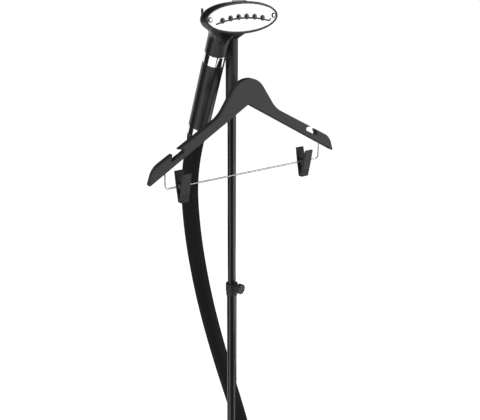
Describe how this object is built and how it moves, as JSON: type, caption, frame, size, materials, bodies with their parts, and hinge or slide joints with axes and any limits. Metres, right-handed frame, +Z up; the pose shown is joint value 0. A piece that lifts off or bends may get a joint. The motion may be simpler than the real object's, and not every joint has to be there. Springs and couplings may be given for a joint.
{
  "type": "garment steamer",
  "caption": "Upright garment steamer: wheeled boiler base with lift-out water tank, telescopic pole, hanger with trouser clips, and a hose-fed steam head in a cradle.",
  "frame": {"origin": "on the floor under the pole's axis, at the middle of the footprint", "axes": "+Z up along the pole, front (soleplate and water tank) towards -Y, +X to the right"},
  "size_m": [0.4214, 0.314, 1.6083],
  "materials": {
    "black_gloss": "satin gloss",
    "black_matte": "fine matte",
    "black_paint": "gloss paint",
    "soleplate_steel": "polished",
    "chrome": "mirror",
    "plain_steel": "bright",
    "latch_grey": "satin",
    "hose_fabric": "fine woven sleeve",
    "soft_rubber": "matte",
    "cast_alloy": "cast",
    "pipe_brass": "drawn",
    "smoke_clear": "clear smoked",
    "lamp_red": "clear tinted"
  },
  "bodies": {
    "base": {"base_tray": "black_matte", "base_cover": "black_gloss", "base_screws": "plain_steel", "feet": "soft_rubber", "rear_axle": "plain_steel", "mast_socket": "black_gloss", "lower_tube": "black_paint", "guide_bush": "black_matte", "clamp_collar": "black_matte", "valve_seat": "black_matte", "boiler_body": "cast_alloy", "boiler_lid": "cast_alloy", "heating_element": "plain_steel", "feed_tube": "soft_rubber", "outlet_tube": "pipe_brass", "dial_switch": "black_matte", "lamp_lens": "lamp_red", "cord_gland": "black_matte", "hose_port": "black_gloss", "hose_cuff_lower": "soft_rubber", "steam_hose": "hose_fabric", "hose_liner": "soft_rubber"},
    "mast": {"upper_tube": "black_paint", "tube_slider": "black_matte", "head_cradle": "black_matte", "sleeve_screw": "plain_steel"},
    "clamp_knob": {"clamp_knob": "black_matte"},
    "handset": {"steam_plate": "soleplate_steel", "plate_screws": "plain_steel", "head_bezel": "black_gloss", "brush_latch": "latch_grey", "plate_gasket": "soft_rubber", "steam_chamber": "black_matte", "head_shell": "black_gloss", "handle_core": "black_matte", "handle_ring_upper": "chrome", "handle_grip": "black_gloss", "handle_ring_lower": "chrome", "hose_coupling": "black_matte", "hose_cuff_upper": "soft_rubber", "steam_pipe": "pipe_brass"},
    "hanger": {"hanger": "black_matte", "trouser_bar": "chrome"},
    "tank": {"water_tank": "smoke_clear", "tank_top": "smoke_clear", "valve_spring": "plain_steel"},
    "tank_cap": {"tank_cap": "black_gloss"},
    "tank_handle": {"tank_handle": "black_gloss"},
    "tank_valve": {"tank_valve": "black_matte"},
    "steam_dial": {"steam_dial": "black_gloss"},
    "wheel_left": {"wheel_left": "black_matte"},
    "wheel_right": {"wheel_right": "black_matte"},
    "clip_left": {"clip_pivot_left": "plain_steel"},
    "clip_back_left": {"clip_back_jaw_left": "black_matte", "clip_spring_left": "black_paint"},
    "clip_front_left": {"clip_front_jaw_left": "black_matte"},
    "clip_right": {"clip_pivot_right": "plain_steel"},
    "clip_back_right": {"clip_back_jaw_right": "black_matte", "clip_spring_right": "black_paint"},
    "clip_front_right": {"clip_front_jaw_right": "black_matte"}
  },
  "joints": [
    {"name": "mast_slide", "type": "slide", "parent": "base", "child": "mast", "axis": [0, 0, 1], "range_m": [-0.375, 0], "deforming": ["steam_hose", "hose_liner"]},
    {"name": "clamp_knob_turn", "type": "hinge", "parent": "base", "child": "clamp_knob", "pos_m": [0, 0, 1.028], "axis": [0.3007, -0.9537, 0], "range_deg": [0, 360]},
    {"name": "handset_lift", "type": "slide", "parent": "mast", "child": "handset", "axis": [0, -0.3843, 0.9232], "range_m": [0, 0.1], "deforming": ["steam_hose", "hose_liner"]},
    {"name": "hanger_lift", "type": "slide", "parent": "mast", "child": "hanger", "axis": [0, 0, 1], "range_m": [0, 0.045]},
    {"name": "tank_lift", "type": "slide", "parent": "base", "child": "tank", "axis": [0, 0, 1], "range_m": [0, 0.14]},
    {"name": "tank_cap_turn", "type": "hinge", "parent": "tank", "child": "tank_cap", "pos_m": [0, -0.098, 0.24], "axis": [0, 0, 1], "range_deg": [0, 120]},
    {"name": "tank_handle_swing", "type": "hinge", "parent": "tank", "child": "tank_handle", "pos_m": [0, -0.066, 0.2433], "axis": [-1, 0, 0], "range_deg": [0, 95]},
    {"name": "tank_valve_lift", "type": "slide", "parent": "tank", "child": "tank_valve", "axis": [0, 0, 1], "range_m": [0, 0.003], "stiffness_N_per_m": 150, "deforming": ["valve_spring"]},
    {"name": "steam_dial_turn", "type": "hinge", "parent": "base", "child": "steam_dial", "pos_m": [-0.1, 0.066, 0.16], "axis": [0, 0, -1], "range_deg": [0, 270]},
    {"name": "wheel_left_roll", "type": "hinge", "parent": "base", "child": "wheel_left", "pos_m": [-0.128, 0.104, 0.025], "axis": [1, 0, 0], "continuous": true},
    {"name": "wheel_right_roll", "type": "hinge", "parent": "base", "child": "wheel_right", "pos_m": [0.128, 0.104, 0.025], "axis": [1, 0, 0], "continuous": true},
    {"name": "clip_left_slide", "type": "slide", "parent": "hanger", "child": "clip_left", "axis": [1, 0, 0], "range_m": [-0.02, 0.11]},
    {"name": "clip_left_swing", "type": "hinge", "parent": "clip_left", "child": "clip_back_left", "pos_m": [-0.14, -0.05, 1.2865], "axis": [1, 0, 0], "range_deg": [-40, 40]},
    {"name": "clip_left_open", "type": "hinge", "parent": "clip_back_left", "child": "clip_front_left", "pos_m": [-0.14, -0.05, 1.2865], "axis": [-1, 0, 0], "range_deg": [0, 28], "stiffness_Nm_per_rad": 0.25, "deforming": ["clip_spring_left"]},
    {"name": "clip_right_slide", "type": "slide", "parent": "hanger", "child": "clip_right", "axis": [1, 0, 0], "range_m": [-0.11, 0.02]},
    {"name": "clip_right_swing", "type": "hinge", "parent": "clip_right", "child": "clip_back_right", "pos_m": [0.14, -0.05, 1.2865], "axis": [1, 0, 0], "range_deg": [-40, 40]},
    {"name": "clip_right_open", "type": "hinge", "parent": "clip_back_right", "child": "clip_front_right", "pos_m": [0.14, -0.05, 1.2865], "axis": [-1, 0, 0], "range_deg": [0, 28], "stiffness_Nm_per_rad": 0.25, "deforming": ["clip_spring_right"]}
  ]
}
